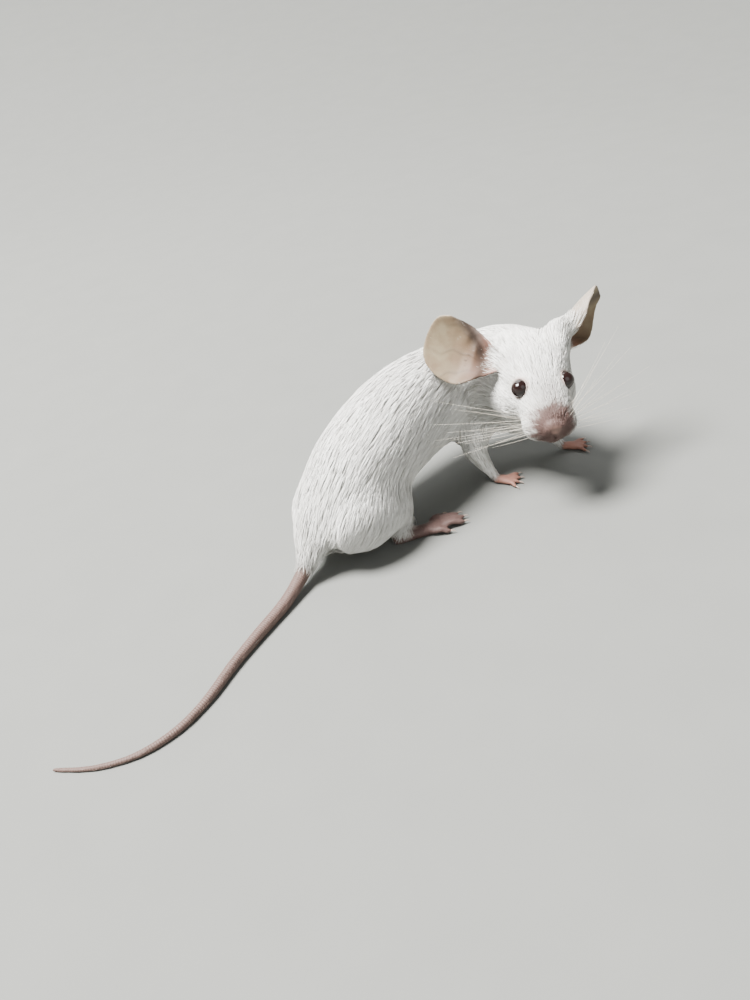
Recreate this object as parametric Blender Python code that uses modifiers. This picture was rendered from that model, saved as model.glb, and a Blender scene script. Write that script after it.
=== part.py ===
"""A life-size still model of a white pet mouse, crouched on a floor and looking back over its right shoulder.

Run it with: blender --background --python part.py
Lengths below are millimetres on the animal, and turn into metres where a mesh is made. +Z is up, the floor is
at 0, and +X runs along the back from the rump towards the shoulders. The body is lofted from stations, each
with a place, a half width, a height above it and a depth below it. The lofts are fused into one form, which
regions then part into the pieces that a person would name, with a thin gap between each two. The feet, ears,
eyes and tail are made beside it and trimmed clear of it. At the end the whole model moves, so that the origin
is on the floor below the middle of its bounding box.
"""

import math

import bmesh
import bpy
from mathutils import Matrix, Vector

MM = 0.001

# Driving sizes, in millimetres.
GAP = 0.3                    # clearance left between touching pieces
FORM_VOXEL = 0.8             # cell of the fused body
PAW_VOXEL = 0.33             # cell of the fused feet
LOFT_SIDES = 24              # corners round a loft
LOFT_STEPS = 4               # rings from one station to the next
EYE_RADIUS = 2.2
EAR_LENGTH = {-1: 20.5, 1: 21.4}
EAR_HALF_ARC = 9.4
EAR_THICKNESS = 0.7
TAIL_THICKNESS = 4.0
TAIL_TIP_THICKNESS = 1.1
TAIL_LENGTHS = 5
WELD = 0.04                  # edges shorter than this are closed up after a cut
BODY_TRIANGLES = 5600        # of the fused body before it is parted
FOOT_TRIANGLES = 360
PIECE_TRIANGLES = {"trunk": 1800, "head": 1600, "neck": 520, "nose": 150, "hind_leg": 460, "fore_leg": 320}
FUR_WHITE = (0.86, 0.85, 0.82)
SKIN_PINK = (0.62, 0.42, 0.38)
EAR_TAN = (0.58, 0.46, 0.38)
TAIL_MAUVE = (0.50, 0.38, 0.37)
EYE_DARK = (0.03, 0.012, 0.01)
FUR_ROUGHNESS = 0.85
SKIN_ROUGHNESS = 0.6
LOOKS = {                    # first words of a node's name: its colour and roughness
    "head": (FUR_WHITE, FUR_ROUGHNESS),
    "neck": (FUR_WHITE, FUR_ROUGHNESS),
    "trunk": (FUR_WHITE, FUR_ROUGHNESS),
    "hind_leg": (FUR_WHITE, FUR_ROUGHNESS),
    "fore_leg": (FUR_WHITE, FUR_ROUGHNESS),
    "nose": (SKIN_PINK, SKIN_ROUGHNESS),
    "hind_foot": (SKIN_PINK, SKIN_ROUGHNESS),
    "fore_paw": (SKIN_PINK, SKIN_ROUGHNESS),
    "ear": (EAR_TAN, SKIN_ROUGHNESS),
    "tail": (TAIL_MAUVE, SKIN_ROUGHNESS),
    "eye": (EYE_DARK, 0.08),
}


def turned(heading, pitch=0.0, tilt=0.0):
    """A turn that faces +X along a heading, lifts it by pitch and leans it by tilt, in degrees."""
    return (Matrix.Rotation(math.radians(heading), 4, "Z")
            @ Matrix.Rotation(math.radians(-pitch), 4, "Y")
            @ Matrix.Rotation(math.radians(tilt), 4, "X"))


# Frames that the pieces are drawn in: +X forward, +Y to the animal's left, +Z up.
HEAD = Matrix.Translation((41.6, -17.2, 23.2)) @ turned(-109.0, -16.5, -4.5)     # at the nose tip
PELVIS = Matrix.Translation((-2.0, 8.6, 0.0)) @ turned(19.0)                     # on the floor below the hips

# x, y, z, half width, height above, depth below, from the tail's root to the back of the skull.
TRUNK = [
    (-20.6, 1.6, 4.2, 2.2, 2.0, 2.0),
    (-18.0, 3.0, 7.8, 5.2, 4.2, 4.8),
    (-12.0, 5.8, 12.6, 9.2, 7.6, 9.0),
    (-2.0, 9.2, 17.8, 12.0, 12.0, 12.6),
    (9.0, 13.2, 21.2, 12.6, 14.4, 12.8),
    (19.0, 17.2, 22.8, 12.0, 15.0, 13.0),
    (28.6, 20.2, 23.2, 11.0, 14.6, 13.6),
    (37.6, 20.6, 24.0, 10.2, 13.4, 13.6),
    (45.0, 18.0, 25.6, 9.6, 12.6, 13.4),
    (49.8, 12.4, 28.0, 9.2, 11.2, 12.6),
    (51.0, 6.0, 29.0, 8.4, 9.0, 10.6),
]

# The same along the head, in its own frame, from the neck to the lips.
SKULL = [
    (-29.5, 0.0, 2.2, 7.4, 6.0, 8.6),
    (-25.5, 0.0, 2.5, 9.6, 7.3, 10.6),
    (-21.0, 0.0, 2.5, 9.8, 7.8, 10.6),
    (-16.5, 0.0, 2.1, 8.8, 7.2, 9.4),
    (-12.0, 0.0, 1.3, 7.3, 6.2, 8.4),
    (-8.0, 0.0, 0.4, 6.5, 4.9, 7.4),
    (-4.6, 0.0, -0.3, 5.6, 3.8, 6.2),
    (-2.0, 0.0, -0.7, 4.3, 2.7, 4.7),
    (-0.6, 0.0, -0.6, 2.6, 1.7, 3.1),
]
EYE = Vector((-12.3, 5.4, 4.2))                  # centre of the left eyeball in the head's frame
EAR_ROOT = {-1: Vector((-19.4, -7.4, 6.2)), 1: Vector((-20.6, 5.0, 6.6))}
EAR_AIM = {                                      # in the head's frame, where each ear points and opens to
    -1: (Vector((-0.43, -0.89, 0.15)), Vector((0.68, -0.20, 0.71))),
    1: (Vector((-0.675, 0.723, 0.147)), Vector((0.70, 0.63, 0.33))),
}
EAR_ROLL = {-1: 0.5, 1: 1.45}                     # how tightly the leaf of each ear is rolled
FORE_LEG = {                                     # shoulder, elbow and wrist
    -1: (Vector((38.5, 14.5, 18.0)), Vector((33.2, 10.4, 9.8)), Vector((36.4, 6.8, 1.8))),
    1: (Vector((47.0, 19.0, 18.5)), Vector((53.0, 14.6, 10.2)), Vector((58.4, 7.4, 1.8))),
}
TAIL_ROUTE = [                                   # from inside the rump down to the floor and along it
    (-18.6, 2.4, 6.0), (-22.6, 0.2, 3.4), (-29.4, -4.6, 1.6), (-38.0, -10.2, 1.3), (-46.6, -16.2, 1.15),
    (-54.0, -22.2, 1.0), (-62.0, -26.6, 0.85), (-71.0, -28.0, 0.7), (-80.0, -25.6, 0.55), (-88.0, -20.4, 0.4),
]
EAR_FRONT_FOLD = {-1: 0.1, 1: 0.7}               # how much further the front rim folds in
EAR_REACH = {-1: (0.84, 0.84), 1: (0.74, 0.95)}  # width of the leaf behind and in front of its middle
EAR_WIDENING = {-1: (0.0, 3.2), 1: (-2.4, 0.0)}   # and how each of them changes towards the tip
EAR_LEAST = 0.30                                 # the least share of the width that is left there
EAR_VALLEY = {-1: 2.2, 1: 0.0}                   # depth of the valley behind the front wall
EAR_FOLD = 5.6                                   # where the fold in front of it crosses the leaf's middle
EAR_TIP = {-1: -1.4, 1: 1.2}                     # how far the tip leans towards the opening
HIND_SPLAY = {-1: -28.0, 1: 14.0}                # heading of each hind foot from the pelvis
PAW_PLACE = {                                    # each forepaw's wrist
    -1: Matrix.Translation((36.2, 6.2, 0.7)) @ turned(-38.0),
    1: Matrix.Translation((58.7, 7.1, 0.7)) @ turned(-28.0),
}


# ---------------------------------------------------------------------------------------------- helpers

def start():
    for old in list(bpy.data.objects):
        bpy.data.objects.remove(old, do_unlink=True)
    groups = {}
    for name in ("white_mouse", "cutters"):
        groups[name] = bpy.data.collections.new(name)
        bpy.context.scene.collection.children.link(groups[name])
    return groups


def add_object(name, mesh, group):
    thing = bpy.data.objects.new(name, mesh)
    group.objects.link(thing)
    return thing


def finished_mesh(bm, name, place=Matrix.Identity(4)):
    """A mesh in metres from a form drawn in millimetres in its own frame."""
    bmesh.ops.transform(bm, matrix=Matrix.Scale(MM, 4) @ place, verts=bm.verts)
    bmesh.ops.recalc_face_normals(bm, faces=bm.faces)
    mesh = bpy.data.meshes.new(name)
    bm.to_mesh(mesh)
    bm.free()
    return mesh


def through(stations, steps=LOFT_STEPS):
    """Stations read closely from the smooth curve through the given ones."""
    ends = [stations[0], *stations, stations[-1]]
    fine = []
    for before, here, there, after in zip(ends, ends[1:], ends[2:], ends[3:]):
        for step in range(steps):
            t = step / steps
            fine.append(tuple(
                0.5 * (2 * q + (r - p) * t + (2 * p - 5 * q + 4 * r - s) * t ** 2
                       + (3 * q - p - 3 * r + s) * t ** 3)
                for p, q, r, s in zip(before, here, there, after)))
    fine.append(tuple(stations[-1]))
    return fine


def loft(bm, stations, hint=(0, 0, 1), sides=LOFT_SIDES, steps=LOFT_STEPS):
    """A closed form through oval sections that stand square to the line through their centres."""
    fine = through([tuple(float(value) for value in station) for station in stations], steps)
    centres = [Vector(station[:3]) for station in fine]
    rings = []
    for index, (centre, station) in enumerate(zip(centres, fine)):
        ahead = centres[min(index + 1, len(fine) - 1)] - centres[max(index - 1, 0)]
        side = Vector(hint).cross(ahead).normalized()
        up = ahead.cross(side).normalized()
        half_width, above, below = station[3:]
        ring = []
        for corner in range(sides):
            angle = 2 * math.pi * corner / sides
            height = above if math.sin(angle) > 0 else below
            ring.append(bm.verts.new(centre + side * half_width * math.cos(angle)
                                     + up * height * math.sin(angle)))
        rings.append(ring)
    for ring, following in zip(rings, rings[1:]):
        for corner in range(sides):
            after = (corner + 1) % sides
            bm.faces.new((ring[corner], ring[after], following[after], following[corner]))
    bm.faces.new(rings[0])
    bm.faces.new(rings[-1])


def tube(bm, points, radii, hint=(0, 0, 1), sides=12, steps=LOFT_STEPS):
    """A round loft through points, with a radius at each."""
    loft(bm, [(*point, radius, radius, radius) for point, radius in zip(points, radii)], hint, sides, steps)


def blob(bm, centre, radii, turn=Matrix.Identity(4), detail=16):
    """An ellipsoid with the given half axes."""
    place = Matrix.Translation(centre) @ turn @ Matrix.Diagonal((*radii, 1.0))
    bmesh.ops.create_uvsphere(bm, u_segments=detail, v_segments=detail // 2 + 2, radius=1.0, matrix=place)


def evaluated(thing, name):
    """The mesh of an object with its modifiers worked in."""
    graph = bpy.context.evaluated_depsgraph_get()
    mesh = bpy.data.meshes.new_from_object(thing.evaluated_get(graph))
    mesh.name = name
    return mesh


def thinned(thing, triangles):
    """Thin a mesh to about the given number of triangles."""
    count = sum(len(face.vertices) - 2 for face in thing.data.polygons)
    thin = thing.modifiers.new("thin", "DECIMATE")
    thin.ratio = min(1.0, triangles / count)
    thing.data = evaluated(thing, thing.name)
    thing.modifiers.clear()


def fused(thing, voxel, smoothing, triangles):
    """One closed skin over all the overlapping forms of an object, smoothed and thinned."""
    remesh = thing.modifiers.new("fuse", "REMESH")
    remesh.mode = "VOXEL"
    remesh.voxel_size = voxel * MM
    smooth = thing.modifiers.new("smooth", "SMOOTH")
    smooth.factor = 0.5
    smooth.iterations = smoothing
    thing.data = evaluated(thing, thing.name)
    thing.modifiers.clear()
    thinned(thing, triangles)


def cut(thing, cutter, operation="DIFFERENCE"):
    """A Boolean, and then the welding of the tiny edges that it leaves."""
    boolean = thing.modifiers.new("cut", "BOOLEAN")
    boolean.operation = operation
    boolean.object = cutter
    thing.data = evaluated(thing, thing.name)
    thing.modifiers.clear()
    bm = bmesh.new()
    bm.from_mesh(thing.data)
    bmesh.ops.triangulate(bm, faces=bm.faces)
    bmesh.ops.dissolve_degenerate(bm, dist=WELD * MM, edges=bm.edges)
    bmesh.ops.triangulate(bm, faces=bm.faces)
    bm.to_mesh(thing.data)
    bm.free()


def grown(source, name, distance, group):
    """A guide a little larger than a form, to trim its neighbours clear of it."""
    guide = add_object(name, source.data.copy(), group)
    guide.hide_render = True
    guide.display_type = "WIRE"
    places = [vertex.co + vertex.normal * distance * MM for vertex in guide.data.vertices]
    for vertex, place in zip(guide.data.vertices, places):
        vertex.co = place
    return guide


def cutter(name, bm, group, place=Matrix.Identity(4)):
    thing = add_object(name, finished_mesh(bm, name, place), group)
    thing.hide_render = True
    thing.display_type = "WIRE"
    return thing


def coloured(thing):
    """Give a piece a material of its own, from the first words of its name."""
    colour, roughness = next(look for word, look in LOOKS.items() if thing.name.startswith(word))
    made = bpy.data.materials.new(thing.name)
    made.use_nodes = True
    shader = made.node_tree.nodes["Principled BSDF"]
    shader.inputs["Base Color"].default_value = (*colour, 1.0)
    shader.inputs["Roughness"].default_value = roughness
    shader.inputs["Metallic"].default_value = 0.0
    thing.data.materials.clear()
    thing.data.materials.append(made)


def flattened(thing):
    """Trim away what lies below the floor."""
    bm = bmesh.new()
    bm.from_mesh(thing.data)
    geometry = [*bm.verts, *bm.edges, *bm.faces]
    trimmed = bmesh.ops.bisect_plane(bm, geom=geometry, dist=0.00001, plane_co=(0, 0, 0), plane_no=(0, 0, -1),
                                     clear_outer=True)
    rim = [item for item in trimmed["geom_cut"] if isinstance(item, bmesh.types.BMEdge)]
    if rim:
        bmesh.ops.contextual_create(bm, geom=rim)
    bm.to_mesh(thing.data)
    bm.free()


def centred(things):
    """Move the whole model so that the origin is on the floor, below the middle of its bounding box."""
    places = [vertex.co for thing in things for vertex in thing.data.vertices]
    low = [min(place[axis] for place in places) for axis in range(3)]
    high = [max(place[axis] for place in places) for axis in range(3)]
    shift = Matrix.Translation((-(low[0] + high[0]) / 2, -(low[1] + high[1]) / 2, 0.0))
    for thing in things:
        thing.data.transform(shift)


# ------------------------------------------------------------------------------------------ fused body

def hind_leg_forms(bm, side):
    """Haunch and shank. side is +1 for the left leg and -1 for the right one."""
    haunch = [
        (-14.0, 5.4, 8.8, 3.6, 4.4, 5.0),
        (-8.5, 7.0, 11.0, 5.8, 7.8, 8.6),
        (-2.5, 8.4, 11.2, 6.0, 8.8, 8.6),
        (4.0, 9.0, 9.6, 5.0, 6.6, 6.0),
        (8.6, 9.2, 7.4, 3.0, 3.8, 3.6),
    ]
    placed = []
    for x, y, z, half_width, above, below in haunch:
        place = PELVIS @ Vector((x, side * y, z))
        placed.append((*place, half_width, above, below))
    loft(bm, placed)
    shank = [Vector((8.4, 9.4, 6.4)), Vector((5.4, 9.6, 4.4)), Vector((2.6, 9.8, 2.8))]
    tube(bm, [PELVIS @ Vector((point.x, side * point.y, point.z)) for point in shank], (2.8, 2.4, 2.0))


def fore_leg_forms(bm, side):
    shoulder, elbow, wrist = FORE_LEG[side]
    tube(bm, (shoulder, (shoulder + elbow) / 2, elbow), (6.0, 5.0, 3.2), hint=(1, 0, 0))
    blob(bm, elbow, (3.3, 3.3, 3.3))
    tube(bm, (elbow, (elbow + wrist) / 2, wrist), (3.1, 2.5, 1.7), hint=(0, 1, 0))


def head_forms(bm):
    loft(bm, SKULL)
    for side in (-1, 1):
        blob(bm, (-5.4, side * 3.3, -2.2), (4.4, 3.8, 3.8))              # whisker pad
        blob(bm, (-17.0, side * 5.4, -2.6), (7.0, 4.9, 7.0))             # cheek and jaw muscle
        blob(bm, (-13.0, side * 3.9, 4.6), (4.4, 2.7, 2.7))              # brow round the eye
        blob(bm, (-21.6, side * 6.0, 6.4), (4.4, 3.8, 4.0))              # mound under the ear
    blob(bm, (-28.0, -2.0, 2.2), (6.0, 9.0, 6.6))                        # nape
    blob(bm, (-24.6, 7.3, 8.7), (4.4, 3.8, 4.6))                         # long hair before the far ear
    blob(bm, (-7.0, 0.0, -5.2), (4.4, 3.2, 2.5))                         # chin
    blob(bm, (-17.5, -1.0, -8.0), (8.4, 7.8, 7.2))                       # throat
    blob(bm, (-20.0, -4.2, -12.4), (6.4, 6.6, 4.8))                      # loose skin from throat to chest


def fused_body(group):
    bm = bmesh.new()
    head_forms(bm)
    bmesh.ops.transform(bm, matrix=HEAD, verts=bm.verts)
    loft(bm, TRUNK)
    blob(bm, (43.0, 7.5, 25.4), (9.0, 9.0, 8.2))                         # scruff, inside the bend of the neck
    for side in (-1, 1):
        hind_leg_forms(bm, side)
        fore_leg_forms(bm, side)
    body = add_object("body", finished_mesh(bm, "body"), group)
    fused(body, FORM_VOXEL, 7, BODY_TRIANGLES)
    return body


def eye_place(side):
    return HEAD @ Vector((EYE.x, side * EYE.y, EYE.z))


def eyeball(name, side, group):
    bm = bmesh.new()
    bmesh.ops.create_uvsphere(bm, u_segments=16, v_segments=10, radius=EYE_RADIUS)
    return add_object(name, finished_mesh(bm, name, Matrix.Translation(eye_place(side))), group)


# ------------------------------------------------------------------------------------------------ ears

def ear(name, side, aim, group):
    """A cupped leaf: a grid drawn in to a disc, rolled to a tube at its root and opened towards its tip."""
    bm = bmesh.new()
    bmesh.ops.create_grid(bm, x_segments=15, y_segments=8, size=1.0)
    for vertex in bm.verts:
        across = vertex.co.x * math.sqrt(1 - vertex.co.y ** 2 / 2)
        along = vertex.co.y * math.sqrt(1 - vertex.co.x ** 2 / 2)
        rise = (along + 1) / 2
        narrowing = 1.0 - 0.5 * max(0.0, 1 - rise / 0.5) ** 1.2
        arc = across * EAR_HALF_ARC * narrowing
        bend = EAR_ROLL[side] + 1.7 * max(0.0, 1 - rise / 0.6) ** 1.4    # half angle of the roll, in radians
        part = 1 if across > 0 else 0
        arc *= max(EAR_LEAST, EAR_REACH[side][part] + EAR_WIDENING[side][part] * max(0.0, rise - 0.48) ** 2)
        if across > 0:
            bend *= 1.0 + EAR_FRONT_FOLD[side] * (1 - rise)
        radius = EAR_HALF_ARC * narrowing / bend
        turn = arc / radius
        bow = EAR_TIP[side] * rise ** 2 - 1.8 * math.sin(math.pi * rise)
        forward = radius * math.sin(turn)
        beyond = (forward - EAR_LENGTH[side] * rise + EAR_FOLD + 0.07 * (forward - 4.5) ** 2) / math.sqrt(2)
        crest = math.exp(-(beyond / 1.3) ** 2)                           # the dish ends in a fold,
        valley = math.exp(-((beyond - 2.6) / 1.7) ** 2)                  # a valley before the front wall
        bow += EAR_VALLEY[side] * (0.5 * crest - valley) * min(1.0, rise / 0.3)
        vertex.co = Vector((radius * (1 - math.cos(turn)) + bow, -side * forward, EAR_LENGTH[side] * rise))
    upward, opening = aim
    crosswise = upward.cross(opening).normalized()
    axes = Matrix((crosswise.cross(upward), crosswise, upward)).transposed().to_4x4()
    root = HEAD @ Matrix.Translation(EAR_ROOT[side])
    thing = add_object(name, finished_mesh(bm, name, root @ axes), group)
    solid = thing.modifiers.new("thickness", "SOLIDIFY")
    solid.thickness = EAR_THICKNESS * MM
    solid.offset = 0.0
    thing.data = evaluated(thing, name)
    thing.modifiers.clear()
    return thing


# ------------------------------------------------------------------------------------------------ feet

def hind_foot(name, side, group):
    """A long foot flat on the floor, drawn forward from its heel: sole, instep and five toes with claws."""
    bm = bmesh.new()
    sole = [(-1.4, 0.0, 1.5, 1.2, 1.0, 1.7), (0.6, 0.0, 1.7, 1.7, 1.5, 2.2), (4.0, 0.0, 1.5, 1.8, 1.5, 2.0),
            (8.0, 0.0, 1.3, 2.0, 1.2, 1.8), (11.0, 0.0, 1.2, 2.5, 1.1, 1.7), (12.6, 0.0, 1.1, 2.2, 0.8, 1.5)]
    loft(bm, sole, sides=14)
    toes = (  # where it leaves the foot, where it ends, as x and y
        ((9.6, 2.3), (13.2, 4.0)), ((11.6, 1.5), (16.6, 2.4)), ((12.0, 0.3), (17.4, 0.4)),
        ((11.8, -0.9), (16.8, -1.6)), ((9.0, -1.9), (12.4, -3.4)))
    for (x, y), (end_x, end_y) in toes:
        points = [Vector((x, y, 1.2)), Vector((x + (end_x - x) * 0.5, y + (end_y - y) * 0.5, 1.7)),
                  Vector((end_x, end_y, 0.75))]
        tube(bm, points, (1.05, 0.85, 0.85), sides=8)
        claw = Vector((end_x - x, end_y - y, 0.0)).normalized() * 1.5
        hooked = [points[2], points[2] + claw * 0.5 + Vector((0, 0, 0.15)), points[2] + claw]
        tube(bm, hooked, (0.6, 0.45, 0.25), sides=8)
    place = PELVIS @ Matrix.Translation((2.4, side * 9.8, 0.0)) @ turned(HIND_SPLAY[side])
    thing = add_object(name, finished_mesh(bm, name, place), group)
    fused(thing, PAW_VOXEL, 2, FOOT_TRIANGLES)
    return thing


def fore_paw(name, side, group):
    """A small hand, drawn forward from its wrist, with four spread fingers."""
    bm = bmesh.new()
    loft(bm, [(-0.4, 0.0, 0.6, 1.3, 1.1, 1.1), (1.4, 0.0, 0.4, 1.5, 1.1, 1.1), (3.0, 0.0, 0.1, 1.9, 1.0, 1.0),
              (4.2, 0.0, -0.1, 1.7, 0.8, 0.9)], sides=12)
    for spread in (-42, -14, 12, 38):
        way = Vector((math.cos(math.radians(spread)), math.sin(math.radians(spread)), 0))
        root = Vector((3.0, 0, 0.0)) + Vector((0.2, way.y * 1.4, 0))
        tube(bm, [root, root + way * 1.9 + Vector((0, 0, 0.35)), root + way * 3.6 + Vector((0, 0, -0.35))],
             (0.8, 0.65, 0.6), sides=8)
    thing = add_object(name, finished_mesh(bm, name, PAW_PLACE[side]), group)
    fused(thing, PAW_VOXEL, 2, FOOT_TRIANGLES)
    return thing


# ------------------------------------------------------------------------------------------------ tail

def tail_lengths(group):
    """The tail from the rump to its tip, lying along the floor, in a few lengths with a gap between them."""
    line = [Vector(point) for point in through(TAIL_ROUTE, 3)]
    taper = (TAIL_TIP_THICKNESS - TAIL_THICKNESS) / (len(line) - 1)
    radii = [(TAIL_THICKNESS + taper * index) / 2 for index in range(len(line))]
    lengths = []
    for number in range(TAIL_LENGTHS):
        first = round(number * (len(line) - 1) / TAIL_LENGTHS)
        last = round((number + 1) * (len(line) - 1) / TAIL_LENGTHS)
        points = line[first:last + 1]
        if number:
            points[0] = points[0] + (points[1] - points[0]).normalized() * GAP / 2
        if number < TAIL_LENGTHS - 1:
            points[-1] = points[-1] + (points[-2] - points[-1]).normalized() * GAP / 2
        bm = bmesh.new()
        tube(bm, points, radii[first:last + 1], sides=10, steps=1)
        name = f"tail_{number + 1}"
        lengths.append(add_object(name, finished_mesh(bm, name), group))
    return lengths


# --------------------------------------------------------------------------------------------- parting

def part_off(body, name, region, groups):
    """Take the share of the body that lies in a region as a piece of its own, with a gap left round it."""
    piece = add_object(name, body.data.copy(), groups["white_mouse"])
    cut(piece, region, "INTERSECT")
    cut(body, grown(region, region.name + "_clearance", GAP, groups["cutters"]))
    return piece


def regions(group):
    """The solid regions that the named pieces are taken from, in the order in which they are taken."""
    made = {}
    for name, centre, radii in (("nose", (-0.5, 0.0, 0.4), (1.9, 2.5, 1.9)),
                                ("head", (-11.5, 0.0, 1.0), (15.5, 13.0, 13.0)),
                                ("neck", (-16.5, 1.5, 2.5), (19.0, 15.0, 16.5))):
        bm = bmesh.new()
        blob(bm, centre, radii, detail=18)
        made[name] = cutter(name + "_region", bm, group, HEAD)
    for side, word in ((-1, "right"), (1, "left")):
        bm = bmesh.new()
        blob(bm, (-2.0, side * 10.6, 9.4), (13.4, 7.0, 12.2), detail=18)
        made["hind_leg_" + word] = cutter(f"hind_leg_{word}_region", bm, group, PELVIS)
        shoulder, elbow, wrist = FORE_LEG[side]
        bm = bmesh.new()
        tube(bm, (shoulder, (shoulder + elbow) / 2, elbow, wrist, wrist + (wrist - elbow) / 2),
             (4.4, 5.6, 4.6, 3.6, 3.0), hint=(1, 0, 0), sides=14, steps=2)
        made["fore_leg_" + word] = cutter(f"fore_leg_{word}_region", bm, group)
    return made


def main():
    groups = start()
    model, cutters = groups["white_mouse"], groups["cutters"]
    body = fused_body(model)
    clearance = grown(body, "body_clearance", GAP, cutters)
    pieces = []
    for side, word in ((-1, "right"), (1, "left")):
        pieces.append(ear("ear_" + word, side, EAR_AIM[side], model))
        pieces.append(hind_foot("hind_foot_" + word, side, model))
        pieces.append(fore_paw("fore_paw_" + word, side, model))
    tail = tail_lengths(model)
    pieces.append(tail[0])
    for piece in pieces:
        cut(piece, clearance)
    for side, word in ((-1, "right"), (1, "left")):
        eyeball("eye_" + word, side, model)
        bm = bmesh.new()
        bmesh.ops.create_uvsphere(bm, u_segments=16, v_segments=10, radius=EYE_RADIUS + GAP)
        cut(body, cutter("socket_" + word, bm, cutters, Matrix.Translation(eye_place(side))))
    for name, region in regions(cutters).items():
        part_off(body, name, region, groups)
    body.name = "trunk"
    for name, triangles in PIECE_TRIANGLES.items():
        for thing in model.objects:
            if thing.name.startswith(name):
                thinned(thing, triangles)
    for thing in model.objects:
        flattened(thing)
        coloured(thing)
        thing.data.shade_smooth()
    centred(model.objects)


main()
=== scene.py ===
# %% [markdown]
# # A white pet mouse, as a still model
# The frame gives the animal's solids at life size: trunk, neck, head, ears, legs, feet and a tail in lengths.
# They are plain and faceted, and thin gaps part them. This script dresses them. One living skin is drawn over
# all the flesh. The eyes, claws and whiskers are made beside it, and a coat of small tufts is laid on it.
# Sizes are written in millimetres, because that is how a mouse is measured, and MM turns them into metres.

import math

import bpy
import numpy as np
from mathutils import Matrix, Vector
from mathutils.bvhtree import BVHTree
from mathutils.kdtree import KDTree


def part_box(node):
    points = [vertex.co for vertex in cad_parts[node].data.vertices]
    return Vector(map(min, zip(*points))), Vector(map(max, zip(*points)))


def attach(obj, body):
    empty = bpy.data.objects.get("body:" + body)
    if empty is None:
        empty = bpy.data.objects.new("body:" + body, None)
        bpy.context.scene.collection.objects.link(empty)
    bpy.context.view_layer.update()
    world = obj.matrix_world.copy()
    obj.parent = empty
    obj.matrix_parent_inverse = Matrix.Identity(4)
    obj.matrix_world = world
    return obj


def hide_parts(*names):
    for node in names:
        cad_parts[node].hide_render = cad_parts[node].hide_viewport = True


MM = 0.001
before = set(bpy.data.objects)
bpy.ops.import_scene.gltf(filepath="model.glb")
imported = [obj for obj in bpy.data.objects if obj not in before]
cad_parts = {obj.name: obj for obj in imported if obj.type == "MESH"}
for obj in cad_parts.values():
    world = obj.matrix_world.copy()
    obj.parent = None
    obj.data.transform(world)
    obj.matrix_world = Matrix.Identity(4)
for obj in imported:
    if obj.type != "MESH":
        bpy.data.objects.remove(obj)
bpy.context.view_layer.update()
rng = np.random.default_rng(7)

# %% [markdown]
# ## Where things are
# The head is turned and tipped, so the face is easier to shape in the head's own axes: +X forward to the
# nose, +Y to the animal's left and +Z to the crown. The turn is a named value. The place comes from the
# frame: the middle of the two eyeballs is a known point of the head. The same point says where the drawing of
# the solids lies in the frame, so the feet and the spine can be named by the places where they were drawn.


# %% The head's own axes, and the drawing's place in the frame
def turned(heading, pitch=0.0, tilt=0.0):
    """A turn that faces +X along a heading, lifts it by pitch and leans it by tilt, in degrees."""
    return (Matrix.Rotation(math.radians(heading), 4, "Z")
            @ Matrix.Rotation(math.radians(-pitch), 4, "Y")
            @ Matrix.Rotation(math.radians(tilt), 4, "X"))


def middle(node):
    low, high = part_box(node)
    return (low + high) / 2


HEAD_TURN = turned(-109.0, -16.5, -4.5)
NOSE_DRAWN = Vector((41.6, -17.2, 23.2))  # the nose tip where it was drawn
EYE = Vector((-12.3, 5.4, 4.2))  # the left eyeball, in the head's axes
EYE_RADIUS = (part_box("eye_right")[1].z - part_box("eye_right")[0].z) / 2 / MM
between_eyes = (middle("eye_left") + middle("eye_right")) / 2
nose_tip = between_eyes - HEAD_TURN.to_3x3() @ Vector((EYE.x, 0.0, EYE.z)) * MM
HEAD = Matrix.Translation(nose_tip) @ HEAD_TURN @ Matrix.Scale(MM, 4)
DRAWING = Matrix.Translation(nose_tip - NOSE_DRAWN * MM) @ Matrix.Scale(MM, 4)
HEAD_AXES = np.array(HEAD_TURN.to_3x3())
print("nose tip at", [round(value / MM, 2) for value in nose_tip], "mm")
print("eyeball radius", round(EYE_RADIUS, 2), "mm")


def in_head(points):
    """Points of the frame, as millimetres in the head's axes."""
    return (points - np.array(nose_tip)) @ HEAD_AXES / MM


# %% The ears' own axes
# The side -1 is the animal's right and 1 its left. Each ear has a root on the head, a way up its leaf, and a
# way that its opening faces.
EAR_ROOT = {-1: Vector((-19.4, -7.4, 6.2)), 1: Vector((-20.6, 5.0, 6.6))}
EAR_AIM = {
    -1: (Vector((-0.43, -0.89, 0.15)), Vector((0.68, -0.20, 0.71))),
    1: (Vector((-0.675, 0.723, 0.147)), Vector((0.70, 0.63, 0.33))),
}
EAR_LENGTH = {-1: 20.5, 1: 21.4}
EAR_FOLD = 5.6  # where the right ear's fold crosses the leaf's middle


def ear_axes(side):
    """The directions towards an ear's opening, to its front and along it, in the head's axes."""
    upward, opening = EAR_AIM[side]
    crosswise = upward.cross(opening).normalized()
    return np.array((crosswise.cross(upward), crosswise * -side, upward))


# %% [markdown]
# ## Camera, floor and light
# The view looks down at the right side of the animal, a little from behind its haunch, from about 0.2 m
# away. The picture is tipped a little, as a hand-held camera is. The floor is plain and pale, and curves up
# far away, so that its edge stays out of sight. The light is soft: one large lamp above and to the left,
# which leaves the flank and the belly in shade, and two weak ones that open the shadows.

# %% Camera
VIEW_AZIMUTH = -18.0
VIEW_ELEVATION = 33.0
VIEW_TIP = -14.0
VIEW_DISTANCE = 205.0
VIEW_LENS = 30.6
SENSOR_WIDTH = 36.0
aim = DRAWING @ Vector((0.0, 0.0, 15.0))


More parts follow.
